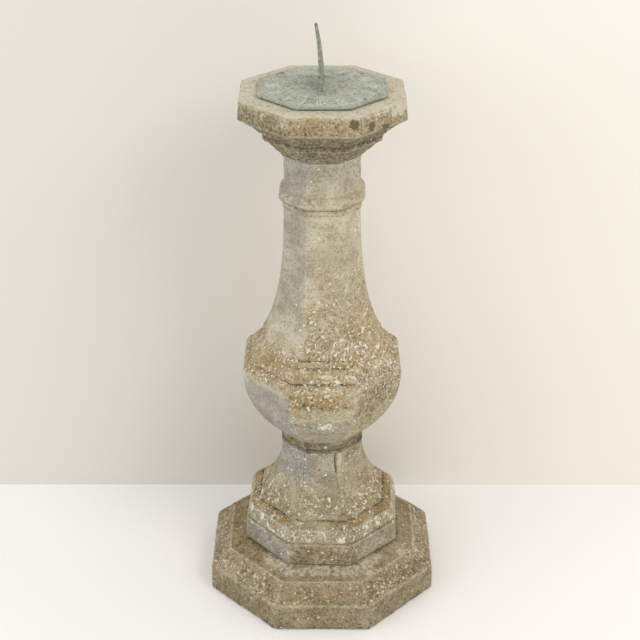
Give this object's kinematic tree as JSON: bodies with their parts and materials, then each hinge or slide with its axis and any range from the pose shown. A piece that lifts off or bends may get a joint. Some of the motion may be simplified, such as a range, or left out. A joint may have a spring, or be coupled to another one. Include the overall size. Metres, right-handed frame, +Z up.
{
  "type": "garden sundial",
  "caption": "Free-standing garden sundial: octagonal stone pedestal in stacked moulded sections with a horizontal bronze dial plate and a thin bronze gnomon.",
  "frame": {"origin": "middle of the underside of the base, on the vertical axis of the pedestal", "axes": "+Z up; -Y towards the noon numeral XII and the tall upright end of the gnomon (north when the dial is set); -X towards the afternoon numerals"},
  "size_m": [0.4, 0.4, 1.0281],
  "materials": {
    "base_stone": "matte",
    "foot_stone": "matte",
    "baluster_stone": "matte",
    "capital_stone": "matte",
    "mortar": "matte",
    "grout": "matte",
    "steel": "matte",
    "lead": "matte",
    "bronze": "matte",
    "brass": "satin"
  },
  "bodies": {
    "base": {"base_slab": "base_stone", "base_dowel": "steel", "base_dowel_grout": "grout"},
    "pedestal": {"foot_block": "foot_stone", "neck_mortar": "mortar", "baluster": "baluster_stone", "core_rod": "steel"},
    "head": {"capital": "capital_stone", "screw_plugs": "lead", "dial_bedding": "mortar", "dial_plate": "bronze", "dial_screws": "brass", "gnomon": "bronze", "gnomon_screws": "brass"}
  },
  "joints": [
    {"name": "pedestal_turn", "type": "hinge", "parent": "base", "child": "pedestal", "pos_m": [0, 0, 0.09], "axis": [0, 0, 1], "continuous": true},
    {"name": "head_turn", "type": "hinge", "parent": "pedestal", "child": "head", "pos_m": [0, 0, 0.815], "axis": [0, 0, 1], "continuous": true}
  ]
}
